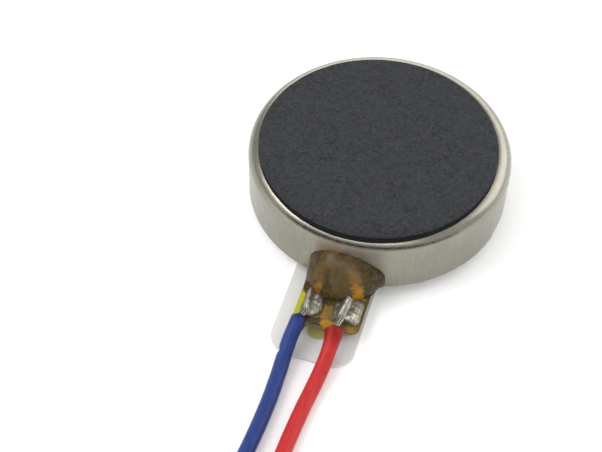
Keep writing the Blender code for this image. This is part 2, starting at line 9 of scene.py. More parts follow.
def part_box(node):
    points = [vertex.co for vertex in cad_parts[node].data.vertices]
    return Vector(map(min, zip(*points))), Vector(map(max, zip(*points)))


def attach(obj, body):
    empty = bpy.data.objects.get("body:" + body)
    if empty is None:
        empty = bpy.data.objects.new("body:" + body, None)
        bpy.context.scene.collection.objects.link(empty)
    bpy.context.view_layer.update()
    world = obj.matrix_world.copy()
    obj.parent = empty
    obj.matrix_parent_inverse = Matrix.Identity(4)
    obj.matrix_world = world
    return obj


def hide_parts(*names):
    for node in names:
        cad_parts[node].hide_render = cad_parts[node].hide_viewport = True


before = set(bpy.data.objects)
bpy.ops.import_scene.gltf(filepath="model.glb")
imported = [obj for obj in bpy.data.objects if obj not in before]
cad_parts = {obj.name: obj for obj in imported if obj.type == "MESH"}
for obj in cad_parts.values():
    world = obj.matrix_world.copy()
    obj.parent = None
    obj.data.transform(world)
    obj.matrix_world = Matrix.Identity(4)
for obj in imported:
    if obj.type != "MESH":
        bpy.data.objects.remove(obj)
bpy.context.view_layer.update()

MM = 0.001

# ---------------------------------------------------------------- places, from the frame, in millimetres


def box_mm(node):
    low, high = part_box(node)
    return low / MM, high / MM


CAP_LOW, CAP_HIGH = box_mm("cap_shell")
FOAM_LOW, FOAM_HIGH = box_mm("foam_pad")
FLEX_LOW, FLEX_HIGH = box_mm("flex_circuit")
LINER_LOW, LINER_HIGH = box_mm("release_liner")
GLUE_LOW, GLUE_HIGH = box_mm("glue_bead")
CAP_RADIUS = CAP_HIGH.x
CAP_TOP = CAP_HIGH.z
SKIRT = CAP_LOW.z
FOAM_CENTRE = (FOAM_LOW + FOAM_HIGH) / 2

# Details of the can that the boxes don't give. Angles are in degrees.
CAP_WALL = 0.25
CAP_SHOULDER = 0.54
MOUTH_HALF_WIDTH = 1.12
MOUTH_TOP = FLEX_HIGH.z + 0.04
CRIMP_ANGLE = 83.0
CRIMP_LENGTH = 1.30
CRIMP_DEPTH = 0.16
# The flex circuit's wide end: its sides, its round corners, where its right lobe ends, and the arch
# between its lobes.
FLEX_LEFT = -1.28
FLEX_RIGHT = 1.20
FLEX_CORNER_LEFT = 0.22
FLEX_CORNER_RIGHT = 0.30
FLEX_END_RIGHT = -7.16
FLEX_ARCH_X = -0.35
FLEX_ARCH_RADIUS = 0.40
FLEX_ARCH_END = 32
# Its inner ring, and half the angle that its neck takes out of the ring.
FLEX_RING_RADIUS = 1.62
FLEX_HOLE_RADIUS = 0.86
FLEX_NECK_ANGLE = 38.1
# The liner's tab: its sides and its round corners.
TAB_LEFT = -1.93
TAB_RIGHT = 1.24
TAB_CORNER_LEFT = 0.90
TAB_CORNER_RIGHT = 0.70

# ---------------------------------------------------------------- camera, floor and light

CAMERA_AZIMUTH = 16.4
CAMERA_ELEVATION = 50.85
CAMERA_ROLL = -0.93
CAMERA_DISTANCE = 50.0
CAMERA_LENS = 76.2
# How far the can's rim centre lies right of and above the picture's centre.
CAMERA_OFFSET = (2.977, 1.640)
FLOOR_HALF = 3000
FLOOR_LEVEL = -0.02
FLOOR_COLOUR = (0.95, 0.95, 0.945)
# Dark cards in front of the can, seen only in its reflections: two points on the floor and two heights each.
FLAG_COLOUR = (0.01, 0.01, 0.01)
FLAG_BOTTOM = 6
FLAGS = {
    "front_flag": ((-230, -150), (120, -220), 105, 105),
    "side_flag": ((120, -220), (290, -70), 105, 40),
}
# Area lights that all face the can: place, width and height, power in watts.
LIGHTS = {
    "key": ((-135, -40, 165), (150, 130), 0.26),
    "front_strip": ((10, -165, 205), (280, 60), 0.15),
    "right_fill": ((165, 160, 118), (260, 180), 0.32),
    "back_fill": ((-45, 210, 85), (220, 110), 0.15),
}
WORLD_COLOUR = (1, 1, 0.995, 1)
WORLD_STRENGTH = 0.80


def add_camera():
    azimuth, elevation = math.radians(CAMERA_AZIMUTH), math.radians(CAMERA_ELEVATION)
    roll = math.radians(CAMERA_ROLL)
    back = Vector((
        math.sin(azimuth) * math.cos(elevation),
        -math.cos(azimuth) * math.cos(elevation),
        math.sin(elevation),
    ))
    right = Vector((math.cos(azimuth), math.sin(azimuth), 0))
    up = back.cross(right)
    across = right * math.cos(roll) - up * math.sin(roll)
    upward = right * math.sin(roll) + up * math.cos(roll)
    place = Vector((0, 0, SKIRT)) + back * CAMERA_DISTANCE
    place -= across * CAMERA_OFFSET[0] + upward * CAMERA_OFFSET[1]
    data = bpy.data.cameras.new("camera")
    data.lens = CAMERA_LENS
    data.sensor_width = 36
    data.clip_start = 0.001
    data.clip_end = 10
    camera = bpy.data.objects.new("camera", data)
    bpy.context.scene.collection.objects.link(camera)
    turn = Matrix((across, upward, back)).transposed().to_4x4()
    camera.matrix_world = Matrix.Translation(place * MM) @ turn
    bpy.context.scene.camera = camera


def stage_mesh(name, corners, colour):
    """One matt face of the set, which isn't part of the object."""
    mesh = bpy.data.meshes.new(name)
    mesh.from_pydata([Vector(c) * MM for c in corners], [], [tuple(range(len(corners)))])
    obj = bpy.data.objects.new(name, mesh)
    bpy.context.scene.collection.objects.link(obj)
    made = bpy.data.materials.new(name)
    made.use_nodes = True
    shader = made.node_tree.nodes["Principled BSDF"]
    shader.inputs["Base Color"].default_value = (*colour, 1)
    shader.inputs["Roughness"].default_value = 0.9
    shader.inputs["Specular IOR Level"].default_value = 0.1
    mesh.materials.append(made)
    return obj


def area_light(name, place, size, power):
    data = bpy.data.lights.new(name, "AREA")
    data.shape = "RECTANGLE"
    data.size = size[0] * MM
    data.size_y = size[1] * MM
    data.energy = power
    light = bpy.data.objects.new(name, data)
    bpy.context.scene.collection.objects.link(light)
    light.location = Vector(place) * MM
    light.rotation_mode = "QUATERNION"
    light.rotation_quaternion = (-Vector(place)).to_track_quat("-Z", "Y")
    light.visible_camera = False


def add_stage():
    half = FLOOR_HALF
    corners = [(-half, -half), (half, -half), (half, half), (-half, half)]
    stage_mesh("floor", [(x, y, FLOOR_LEVEL) for x, y in corners], FLOOR_COLOUR)
    for name, (start, end, start_top, end_top) in FLAGS.items():
        low = [(*start, FLAG_BOTTOM), (*end, FLAG_BOTTOM)]
        flag = stage_mesh(name, [*low, (*end, end_top), (*start, start_top)], FLAG_COLOUR)
        flag.visible_camera = False
        flag.visible_diffuse = False
        flag.visible_shadow = False
    for name, (place, size, power) in LIGHTS.items():
        area_light(name, place, size, power)
    world = bpy.data.worlds.new("studio")
    world.use_nodes = True
    background = world.node_tree.nodes["Background"]
    background.inputs["Color"].default_value = WORLD_COLOUR
    background.inputs["Strength"].default_value = WORLD_STRENGTH
    bpy.context.scene.world = world
    bpy.context.scene.view_settings.view_transform = "Standard"


# ---------------------------------------------------------------- materials


class Shader:
    """A Principled material being built. Its textures read the object's coordinates, in millimetres."""

    def __init__(self, name, **values):
        self.material = bpy.data.materials.new(name)
        self.material.use_nodes = True
        self.tree = self.material.node_tree
        self.main = self.tree.nodes["Principled BSDF"]
        self.spot = self.tree.nodes.new("ShaderNodeTexCoord").outputs["Object"]
        for socket, value in values.items():
            self.set(socket.replace("_", " "), value)

    def set(self, socket, value):
        """A plain number or colour goes on the socket, and an output is linked to it."""
        target = self.main.inputs[socket]
        if isinstance(value, bpy.types.NodeSocket):
            self.tree.links.new(value, target)
        elif isinstance(value, tuple) and target.type == "RGBA":
            target.default_value = (*value, 1)
        else:
            target.default_value = value

    def node(self, kind, inputs, **settings):
        made = self.tree.nodes.new(kind)
        for key, value in settings.items():
            setattr(made, key, value)
        for key, value in inputs.items():
            if isinstance(value, bpy.types.NodeSocket):
                self.tree.links.new(value, made.inputs[key])
            elif value is not None:
                made.inputs[key].default_value = value
        return made

    def place(self, stretch=(1, 1, 1), shift=(0, 0, 0)):
        """The object's coordinates in millimetres, stretched."""
        inputs = {"Vector": self.spot, "Location": shift}
        inputs["Scale"] = tuple(share / MM for share in stretch)
        return self.node("ShaderNodeMapping", inputs).outputs[0]

    def noise(self, scale, detail=4.0, rough=0.55, stretch=(1, 1, 1), warp=0.0, shift=(0, 0, 0)):
        """Noise with about scale cells in a millimetre."""
        inputs = {"Vector": self.place(stretch, shift), "Scale": scale, "Detail": detail}
        inputs |= {"Roughness": rough, "Distortion": warp}
        return self.node("ShaderNodeTexNoise", inputs).outputs["Fac"]

    def cells(self, scale, feature="F1", stretch=(1, 1, 1)):
        inputs = {"Vector": self.place(stretch), "Scale": scale}
        return self.node("ShaderNodeTexVoronoi", inputs, feature=feature).outputs["Distance"]

    def level(self, value, low, high, to_low=0.0, to_high=1.0):
        """value from low to high, spread over to_low to to_high."""
        inputs = {"Value": value, "From Min": low, "From Max": high}
        inputs |= {"To Min": to_low, "To Max": to_high}
        return self.node("ShaderNodeMapRange", inputs).outputs["Result"]

    def axis(self, name):
        """One coordinate of the object, in millimetres."""
        split = self.node("ShaderNodeSeparateXYZ", {0: self.place()})
        return split.outputs[name]

    def blend(self, share, low, high):
        """The colour low where share is 0 and high where it is 1."""
        made = self.node("ShaderNodeMix", {}, data_type="RGBA")
        for key, value in ((0, share), (6, low), (7, high)):
            if isinstance(value, bpy.types.NodeSocket):
                self.tree.links.new(value, made.inputs[key])
            elif isinstance(value, tuple):
                made.inputs[key].default_value = (*value, 1)
            else:
                made.inputs[key].default_value = value
        return made.outputs[2]

    def math(self, operation, *values):
        return self.node("ShaderNodeMath", dict(enumerate(values)), operation=operation).outputs[0]

    def patch(self, x, y, half_x, half_y, ragged=0.5, soft=0.25):
        """1 inside an ellipse seen from above. Its edge is ragged, and soft on both sides of the ellipse."""
        across = self.math("DIVIDE", self.math("SUBTRACT", self.axis("X"), x), half_x)
        along = self.math("DIVIDE", self.math("SUBTRACT", self.axis("Y"), y), half_y)
        reach = self.math("ADD", self.math("MULTIPLY", across, across), self.math("MULTIPLY", along, along))
        rough = self.level(self.noise(3.5, 3, 0.6), 0.3, 0.7, -ragged, ragged)
        return self.level(self.math("ADD", reach, rough), 1 + soft, 1 - soft)

    def bump(self, *layers):
        """Layers of (height, depth in millimetres), one on another."""
        normal = None
        for height, depth in layers:
            inputs = {"Height": height, "Distance": depth * MM, "Strength": 1.0, "Normal": normal}
            normal = self.node("ShaderNodeBump", inputs).outputs["Normal"]
        self.set("Normal", normal)
        return self.material


def cap_steel():
    """Satin drawn steel: streaks up the wall, clouding, a few scuffs, painted shade towards its left side,
    and a glue smear above the glue.
    """
    s = Shader("cap_steel")
    cloud = s.noise(0.9, 3, 0.5)
    streak = s.noise(2.6, 3, 0.6, stretch=(4, 4, 0.35))
    scuff = s.level(s.noise(3.2, 5, 0.7, stretch=(1, 1, 2.5), warp=0.6), 0.60, 0.72)
    tone = s.level(s.math("ADD", cloud, streak), 0.75, 1.25)
    steel = s.blend(tone, (0.235, 0.222, 0.185), (0.275, 0.262, 0.222))
    steel = s.blend(s.math("MULTIPLY", scuff, 0.30), steel, (0.34, 0.325, 0.285))
    # Painted shade: the steel darkens towards the left side of the can, past x = -2.6.
    steel = s.blend(s.level(s.axis("X"), -2.6, -4.9, 0.0, 0.6), steel, (0.165, 0.155, 0.128))
    across = s.level(s.math("ABSOLUTE", s.math("ADD", s.axis("X"), 0.25)), 0.85, 0.40)
    front = s.level(s.axis("Y"), -4.6, -4.8)
    above = s.level(s.axis("Z"), 2.62, 2.48)
    ragged = s.level(s.noise(3.2, 4, 0.6), 0.36, 0.56)
    smear = s.math("MULTIPLY", s.math("MULTIPLY", across, front), s.math("MULTIPLY", above, ragged))
    s.set("Base Color", s.blend(s.math("MULTIPLY", smear, 0.85), steel, (0.26, 0.150, 0.045)))
    s.set("Metallic", s.level(smear, 0.0, 1.0, 1.0, 0.35))
    beside = s.level(s.math("ABSOLUTE", s.math("SUBTRACT", s.axis("X"), 0.3)), 1.5, 0.9)
    dull = s.math("MULTIPLY", s.math("MULTIPLY", beside, front), s.level(s.axis("Z"), 2.70, 2.50))
    rough = s.level(s.math("ADD", streak, scuff), 0.3, 1.5, 0.24, 0.42)
    s.set("Roughness", s.math("ADD", rough, s.math("MULTIPLY", dull, 0.30)))
    return s.bump((streak, 0.002), (s.noise(22, 3, 0.6), 0.0010))


def base_steel():
    """Bright rolled steel with faint rolling lines."""
    s = Shader("base_steel", Metallic=1.0)
    lines = s.noise(3.0, 4, 0.6, stretch=(5, 0.3, 1))
    s.set("Base Color", s.blend(s.level(lines, 0.3, 0.7), (0.50, 0.48, 0.45), (0.66, 0.64, 0.61)))
    s.set("Roughness", s.level(s.noise(1.5, 4), 0.3, 0.7, 0.22, 0.38))
    return s.bump((lines, 0.003), (s.noise(18, 3), 0.001))


def foam_skin():
    """Closed-cell foam: fine mottle, pinholes and a dusty bloom."""
    s = Shader("foam_skin", Roughness=1.0, Specular_IOR_Level=0.08)
    s.set("Sheen Weight", 0.03)
    s.set("Sheen Roughness", 0.6)
    fine = s.noise(9.0, 3, 0.7)
    patch = s.noise(1.3, 3, 0.5)
    holes = s.level(s.cells(11.0), 0.05, 0.28)
    speck = s.math("MULTIPLY", s.level(fine, 0.32, 0.68), s.level(holes, 0.0, 1.0, 0.72, 1.0))
    tone = s.blend(speck, (0.014, 0.015, 0.017), (0.044, 0.045, 0.049))
    s.set("Base Color", s.blend(s.level(patch, 0.35, 0.65, 0.0, 0.45), tone, (0.031, 0.033, 0.036)))
    return s.bump((holes, 0.010), (fine, 0.012))


def foam_cut():
    """The cut side of the foam, with open cells."""
    s = Shader("foam_cut", Roughness=1.0, Specular_IOR_Level=0.05)
    cells = s.level(s.cells(14.0, stretch=(1, 1, 1.6)), 0.05, 0.45)
    s.set("Base Color", s.blend(cells, (0.004, 0.0035, 0.0035), (0.014, 0.013, 0.013)))
    return s.bump((cells, 0.02))


def film(name, low, high, alpha, scale, depth):
    """Thin clear or milky plastic film."""
    s = Shader(name, Specular_IOR_Level=0.5, Alpha=alpha)
    cloud = s.noise(scale, 4, 0.55)
    s.set("Base Color", s.blend(s.level(cloud, 0.3, 0.7), low, high))
    s.set("Roughness", s.level(s.noise(scale * 3, 3), 0.3, 0.7, 0.28, 0.50))
    return s.bump((cloud, depth), (s.noise(scale * 12, 3), depth * 0.1))


def liner_film():
    """Milky film with painted shade from the leads and flex circuit, lighter at its left, and a smear of
    flux under the arch of the flex circuit.
    """
    s = Shader("liner_film", Specular_IOR_Level=0.4, Alpha=0.84)
    cloud = s.noise(0.8, 4, 0.5)
    band = s.noise(0.7, 2, 0.5, stretch=(2.2, 0.15, 1), shift=(2, 0, 0))
    # Painted shade: the film's tone stays dark for the shade of the leads and flex circuit, and turns
    # lighter left of x = -1.05, out of their shade.
    tone = s.blend(s.level(band, 0.35, 0.65), (0.62, 0.605, 0.585), (0.75, 0.74, 0.725))
    tone = s.blend(s.level(s.axis("X"), -1.05, -1.45), tone, (0.76, 0.755, 0.745))
    tone = s.blend(s.level(cloud, 0.3, 0.7, 0.0, 0.3), tone, (0.74, 0.735, 0.725))
    tone = s.blend(s.patch(-0.26, -7.13, 0.42, 0.32, 0.15), tone, (0.43, 0.40, 0.14))
    s.set("Base Color", tone)
    s.set("Roughness", s.level(s.noise(2.4, 3), 0.3, 0.7, 0.32, 0.55))
    return s.bump((cloud, 0.02), (s.noise(9, 3), 0.002))


def polyimide():
    """Amber film: brown over the tongue, orange where it is clear, painted shade along the arch, and a
    painted yellow glow of light shining through at its free left edge.
    """
    s = Shader("polyimide", Specular_IOR_Level=0.3, Coat_Weight=0.15, Coat_Roughness=0.2)
    x, y = s.axis("X"), s.axis("Y")
    patch = s.level(s.noise(1.7, 4, 0.6, warp=0.4, shift=(3.1, 1.2, 0)), 0.42, 0.58)
    tone = s.blend(patch, (0.115, 0.080, 0.028), (0.250, 0.130, 0.010))
    fleck = s.level(s.noise(9.0, 4, 0.7), 0.35, 0.70)
    tone = s.blend(s.math("MULTIPLY", fleck, 0.35), tone, (0.17, 0.11, 0.035))
    # Painted shade: the film darkens along the edge of the arch between its lobes.
    tone = s.blend(s.patch(-0.50, -6.98, 0.55, 0.17, 0.3), tone, (0.060, 0.040, 0.012))
    tone = s.blend(s.patch(0.0, -6.35, 0.18, 0.42, 0.4, 0.6), tone, (0.175, 0.112, 0.028))
    tone = s.blend(s.patch(0.0, -6.98, 0.26, 0.16), tone, (0.33, 0.165, 0.006))
    tone = s.blend(s.level(x, 0.98, 1.14, 0.0, 0.75), tone, (0.085, 0.066, 0.030))
    # Painted light: light from the liner shining through the film turns its free left edge yellow.
    edge = s.math("MULTIPLY", s.level(x, -0.98, -1.03), s.level(y, -5.80, -5.95))
    tone = s.blend(edge, tone, (0.42, 0.40, 0.020))
    s.set("Base Color", tone)
    s.set("Roughness", s.level(fleck, 0.0, 1.0, 0.18, 0.34))
    return s.bump((s.noise(2.2, 3), 0.010), (fleck, 0.002))


# Painted soft highlights on the glue, as x and y, and amber places in the glue: x and y, and for these half
# width, half length and strength.
PAINTED_HIGHLIGHTS = [(-0.36, -5.42), (0.50, -5.46)]
AMBER_SPOTS = [
    (0.92, -5.74, 0.31, 0.16, 1.0),
    (-0.80, -5.86, 0.24, 0.10, 0.55),
    (-0.70, -5.60, 0.30, 0.12, 0.12),
    (0.60, -5.56, 0.30, 0.12, 0.22),
]


def glue():
    """Brown glue, with painted shade at its ends, painted soft highlights near its top, and amber where it
    is thin. It fades out over the flex circuit.
    """
    s = Shader("glue", Specular_IOR_Level=0.13, Coat_Weight=0.06, Coat_Roughness=0.20)
    swirl = s.noise(1.5, 4, 0.6, warp=0.5)
    fine = s.noise(6.0, 4, 0.65, shift=(1, 5, 2))
    # Painted shade: the glue darkens towards its two ends.
    end = s.level(s.math("ABSOLUTE", s.math("SUBTRACT", s.axis("X"), 0.14)), 0.45, 1.20)
    tone = s.blend(end, (0.074, 0.053, 0.022), (0.019, 0.010, 0.002))
    tone = s.blend(s.level(swirl, 0.42, 0.60, 0.0, 0.75), tone, (0.034, 0.021, 0.007))
    tone = s.blend(s.level(fine, 0.42, 0.72, 0.0, 0.6), tone, (0.130, 0.082, 0.026))
    # Painted highlights: soft pale spots near the top of the glue.
    for x, y in PAINTED_HIGHLIGHTS:
        painted_highlight = s.math("MULTIPLY", s.patch(x, y, 0.30, 0.14, 0.5, 0.95), 0.30)
        tone = s.blend(painted_highlight, tone, (0.165, 0.128, 0.074))
    for x, y, half_x, half_y, share in AMBER_SPOTS:
        spot = s.math("MULTIPLY", s.patch(x, y, half_x, half_y, 0.8, 0.5), share)
        tone = s.blend(spot, tone, (0.34, 0.155, 0.004))
    s.set("Base Color", tone)
    s.set("Roughness", s.level(swirl, 0.3, 0.7, 0.24, 0.40))
    edge = s.math("ADD", s.axis("Y"), s.level(fine, 0.3, 0.7, -0.10, 0.10))
    s.set("Alpha", s.level(edge, -6.22, -5.98))
    return s.bump((swirl, 0.03), (s.noise(14, 3), 0.002))


def solder():
    """Frosted tin with brighter streaks along the wire, a painted highlight on its raised tops, and a brown
    flux stain.
    """
    s = Shader("solder", Metallic=0.85)
    raised = s.level(s.axis("Z"), 0.70, 0.88)
    streak = s.level(s.noise(5.0, 3, 0.6, stretch=(2.4, 0.45, 1)), 0.46, 0.64)
    # Painted highlight: the streaks show stronger on the raised tops.
    streak = s.math("MULTIPLY", streak, s.level(raised, 0.0, 1.0, 0.35, 1.0))
    stain = s.level(s.noise(2.4, 4, 0.6, shift=(4, 1, 2)), 0.36, 0.60, 0.0, 0.9)
    tone = s.blend(stain, (0.235, 0.222, 0.185), (0.135, 0.108, 0.062))
    # Painted highlight: the raised tops of the solder are lighter.
    tone = s.blend(s.level(raised, 0.0, 1.0, 0.0, 0.6), tone, (0.40, 0.39, 0.35))
    s.set("Base Color", s.blend(streak, tone, (0.46, 0.445, 0.40)))
    s.set("Roughness", s.level(streak, 0.0, 1.0, 0.42, 0.20))
    ridges = s.noise(3.0, 3, stretch=(2.2, 0.6, 1))
    return s.bump((ridges, 0.02), (s.noise(6, 3), 0.012), (s.noise(16, 3), 0.003))


def insulation(name, low, high, dull, dull_start, dull_end):
    """Drawn plastic with faint lengthwise lines. Painted shade darkens it near its start.

    The dull colour, a painted shade, is full at y = dull_start and gone at y = dull_end."""
    s = Shader(name, Specular_IOR_Level=0.20, Coat_Weight=0.02, Coat_Roughness=0.3)
    streak = s.noise(3.0, 4, 0.55, stretch=(3.0, 0.5, 3.0))
    tone = s.blend(s.level(streak, 0.3, 0.7), low, high)
    # Painted shade: the lead darkens near its start, with a ragged edge.
    start_shade = s.level(s.math("ADD", s.axis("Y"), s.level(streak, 0, 1, -0.15, 0.15)), dull_end, dull_start)
    s.set("Base Color", s.blend(start_shade, tone, dull))
    s.set("Roughness", s.level(s.noise(5, 3), 0.3, 0.7, 0.34, 0.50))
    return s.bump((streak, 0.012), (s.noise(20, 3), 0.002))


def metal(name, low, high, rough, scale=4.0, stretch=(1, 1, 1), depth=0.004):
    """A plain metal with grain."""
    s = Shader(name, Metallic=1.0)
    grain = s.noise(scale, 4, 0.6, stretch=stretch)
    s.set("Base Color", s.blend(s.level(grain, 0.3, 0.7), low, high))
    s.set("Roughness", s.level(s.noise(scale * 0.7, 3), 0.3, 0.7, rough * 0.75, rough * 1.25))
    return s.bump((grain, depth))


def plastic(name, low, high, rough, scale=4.0, depth=0.004):
    """A moulded or laminated plastic with grain."""
    s = Shader(name, Specular_IOR_Level=0.4)
    grain = s.noise(scale, 4, 0.6)
    s.set("Base Color", s.blend(s.level(grain, 0.3, 0.7), low, high))
    s.set("Roughness", s.level(s.noise(scale * 0.7, 3), 0.3, 0.7, rough * 0.8, rough * 1.2))
    return s.bump((grain, depth))


# ---------------------------------------------------------------- mesh helpers


def arc(x, y, radius, start, end, steps):
    """Points on an arc, from start to end in degrees."""
    angles = [math.radians(start + (end - start) * i / steps) for i in range(steps + 1)]
    return [(x + radius * math.cos(a), y + radius * math.sin(a)) for a in angles]


def wobble(point, scale, shift=0.0):
    """Smooth noise from -1 to 1 at a point in millimetres."""
    return noise.noise(Vector(point) * scale + Vector((shift, shift * 1.7, -shift)))


def finish_mesh(name, bm, materials, nodes, body="stator", sharp=38):
    """Turns a bmesh in millimetres into a piece that rides on a body and stands for CAD nodes."""
    bmesh.ops.recalc_face_normals(bm, faces=bm.faces)
    bmesh.ops.scale(bm, vec=(MM, MM, MM), verts=bm.verts)
    mesh = bpy.data.meshes.new(name)
    bm.to_mesh(mesh)
    bm.free()
    mesh.shade_smooth()
    mesh.set_sharp_from_angle(angle=math.radians(sharp))
    for entry in materials:
        mesh.materials.append(entry)
    piece = bpy.data.objects.new(name, mesh)
    bpy.context.scene.collection.objects.link(piece)
    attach(piece, body)
    if nodes:
        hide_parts(*nodes)
    return piece


def skin(bm, rows, close=False):
    """Faces between rows of vertices. With close, each row is a loop."""
    for low, high in zip(rows, rows[1:]):
        count = len(low)
        for i in range(count if close else count - 1):
            j = (i + 1) % count
            bm.faces.new((low[i], low[j], high[j], high[i]))


def cap_row(bm, row, centre):
    """A fan that closes a loop of vertices."""
    hub = bm.verts.new(centre)
    for i, vertex in enumerate(row):
        bm.faces.new((vertex, row[(i + 1) % len(row)], hub))


def lathe(bm, profile, columns, lift=None):
    """Turns a closed loop of (radius, height) over the columns, which are angles in degrees.

    lift changes a point: it takes the angle, radius and height and returns the new radius and height."""
    rows = []
    for angle in columns:
        turn = math.radians(angle)
        row = []
        for radius, height in profile:
            r, z = lift(angle, radius, height) if lift else (radius, height)
            row.append(bm.verts.new((r * math.cos(turn), r * math.sin(turn), z)))
        rows.append(row)
    skin(bm, rows + rows[:1], close=True)


def even_angles(count):
    return [360 * i / count for i in range(count)]


def slab(bm, loops, bottom, top, edge):
    """A plate between two heights, with rounded edges. The loops are its outline and then its holes."""
    edges = []
    for loop in loops:
        corners = [bm.verts.new((x, y, bottom)) for x, y in loop]
        edges += [bm.edges.new((a, b)) for a, b in zip(corners, corners[1:] + corners[:1])]
    bmesh.ops.triangle_fill(bm, use_beauty=True, use_dissolve=False, edges=edges)
    raised = bmesh.ops.extrude_face_region(bm, geom=bm.faces[:])["geom"]
    moved = [item for item in raised if isinstance(item, bmesh.types.BMVert)]
    bmesh.ops.translate(bm, vec=(0, 0, top - bottom), verts=moved)
    bmesh.ops.recalc_face_normals(bm, faces=bm.faces)
    bends = [e for e in bm.edges if len(e.link_faces) == 2 and e.calc_face_angle() > math.radians(60)]
    rims = [e for e in bends if abs(e.verts[0].co.z - e.verts[1].co.z) < 1e-6]
    bmesh.ops.bevel(bm, geom=rims, offset=edge, segments=2, affect="EDGES", clamp_overlap=True)


def smooth_path(route, pitch):
    """Points a pitch apart on a Catmull-Rom curve through the route."""
    points = [Vector(p) for p in route]
    ends = [2 * points[0] - points[1], *points, 2 * points[-1] - points[-2]]
    steps = 24
    fine = []
    for before, start, end, after in zip(ends, ends[1:], ends[2:], ends[3:]):
        for i in range(steps):
            t = i / steps
            bend = 2 * before - 5 * start + 4 * end - after
            turn = 3 * start - before - 3 * end + after
            fine.append(start + 0.5 * ((end - before) * t + bend * t**2 + turn * t**3))
    fine.append(points[-1])
    total = sum((b - a).length for a, b in zip(fine, fine[1:]))
    count = max(2, round(total / pitch))
    chosen = [fine[0]]
    walked = 0.0
    for a, b in zip(fine, fine[1:]):
        walked += (b - a).length
        if walked >= total * len(chosen) / count and len(chosen) < count:
            chosen.append(b)
    return [*chosen, fine[-1]]


def frames_along(path):
    """(point, side, up) at each point of a path, with no twist."""
    made = []
    side = Vector((1, 0, 0))
    for i, point in enumerate(path):
        way = (path[min(i + 1, len(path) - 1)] - path[max(i - 1, 0)]).normalized()
        side = (side - way * side.dot(way)).normalized()
        made.append((point, side.copy(), side.cross(way).normalized()))
    return made


def tube(bm, path, sides, radius, slant=0.0):
    """A closed tube. radius takes the share of the way along and the angle round it, in radians.

    slant sets its first end askew."""
    rows = []
    last = len(path) - 1
    for i, (point, side, up) in enumerate(frames_along(path)):
        row = []
        skew = (path[1] - path[0]).normalized() * slant * max(0.0, 1 - i / 4)
        for k in range(sides):
            turn = 2 * math.pi * k / sides
            out = side * math.cos(turn) + up * math.sin(turn)
            row.append(bm.verts.new(point + out * radius(i / last, turn) + skew * math.cos(turn)))
        rows.append(row)
    skin(bm, rows, close=True)
    cap_row(bm, rows[0], path[0])
    cap_row(bm, rows[-1], path[-1])


# ---------------------------------------------------------------- the can

# The cap's dome has a pinhole in its middle, under the foam, and one ring of points outside it.
CAP_PINHOLE = 0.02
CAP_DOME_RING = 2.5
CAP_RIM_EDGE = 0.035


def mouth_angle():
    """Half the angle that the mouth spans, in degrees."""
    return math.degrees(math.asin(MOUTH_HALF_WIDTH / CAP_RADIUS))


def crimp_half_angle():
    return math.degrees(CRIMP_LENGTH / 2 / CAP_RADIUS)


def cap_columns():
    """Angles round the cap: even steps, and a pair at each edge of the mouth and of the crimp slots."""
    mouth = mouth_angle()
    crimp = crimp_half_angle()
    edges = []
    for middle, half in ((-90, mouth), (-90 - CRIMP_ANGLE, crimp), (-90 + CRIMP_ANGLE, crimp)):
        edges += [middle - half, middle + half]
    columns = even_angles(240)
    columns += [(edge + step) % 360 for edge in edges for step in (-0.12, 0.12)]
    return sorted(set(columns))


def rim_height(angle):
    """Height of the cap's lower rim at an angle, with its mouth and crimp slots."""
    off = abs((angle + 90 + 180) % 360 - 180)
    if off < mouth_angle():
        return MOUTH_TOP
    if abs(off - CRIMP_ANGLE) < crimp_half_angle():
        return SKIRT + CRIMP_DEPTH
    return SKIRT


def cap_profile():
    """Over the dome, down the wall, round the rim and back inside."""
    flat = CAP_RADIUS - CAP_SHOULDER
    middle = CAP_TOP - CAP_SHOULDER
    ceiling = CAP_TOP - CAP_WALL
    inside = CAP_RADIUS - CAP_WALL
    outer = arc(flat, middle, CAP_SHOULDER, 90, 0, 18)
    inner = arc(flat, middle, CAP_SHOULDER - CAP_WALL, 0, 90, 8)
    wall = [(CAP_RADIUS, SKIRT + (middle - SKIRT) * (1 - i / 8)) for i in range(1, 8)]
    rim = [(CAP_RADIUS, SKIRT + CAP_RIM_EDGE), (CAP_RADIUS - CAP_RIM_EDGE, SKIRT)]
    rim += [(inside + CAP_RIM_EDGE, SKIRT), (inside, SKIRT + CAP_RIM_EDGE)]
    profile = [(CAP_PINHOLE, CAP_TOP), (CAP_DOME_RING, CAP_TOP), *outer, *wall, *rim, *inner]
    return profile + [(CAP_DOME_RING, ceiling), (CAP_PINHOLE, ceiling)]


def drawn(angle, radius, height):
    """A point of the cap's profile, with the rim cut to its height and the wall slightly uneven."""
    middle = CAP_TOP - CAP_SHOULDER
    if height < middle:
        base = rim_height(angle)
        height = base + (height - SKIRT) * (middle - base) / (middle - SKIRT)
    if radius > CAP_RADIUS - CAP_SHOULDER:
        turn = math.radians(angle)
        spot = (radius * math.cos(turn), radius * math.sin(turn), height)
        radius += 0.006 * wobble(spot, 0.55) + 0.0025 * wobble(spot, 2.4, 5)
    return radius, height


def cap():
    bm = bmesh.new()
    lathe(bm, cap_profile(), cap_columns(), drawn)
    bmesh.ops.remove_doubles(bm, verts=bm.verts, dist=0.0001)
    return finish_mesh("cap", bm, [cap_steel()], ["cap_shell"])


FOAM_EDGE = 0.05
# The foam sinks where it hangs over the can's shoulder, by DROOP_UNDER of the gap at its underside
# and by DROOP_EASE less at its top. It sinks no further past DROOP_REACH.
DROOP_UNDER = 0.95
DROOP_EASE = 0.45
DROOP_REACH = 0.42


def droop(x, y, z):
    """How far the foam sinks at a point."""
    past = min(DROOP_REACH, max(0.0, math.hypot(x, y) - (CAP_RADIUS - CAP_SHOULDER)))
    height = min(1.0, max(0.0, (z - FOAM_LOW.z) / (FOAM_HIGH.z - FOAM_LOW.z)))
    return (DROOP_UNDER - DROOP_EASE * height) * (CAP_SHOULDER - math.sqrt(CAP_SHOULDER**2 - past**2))


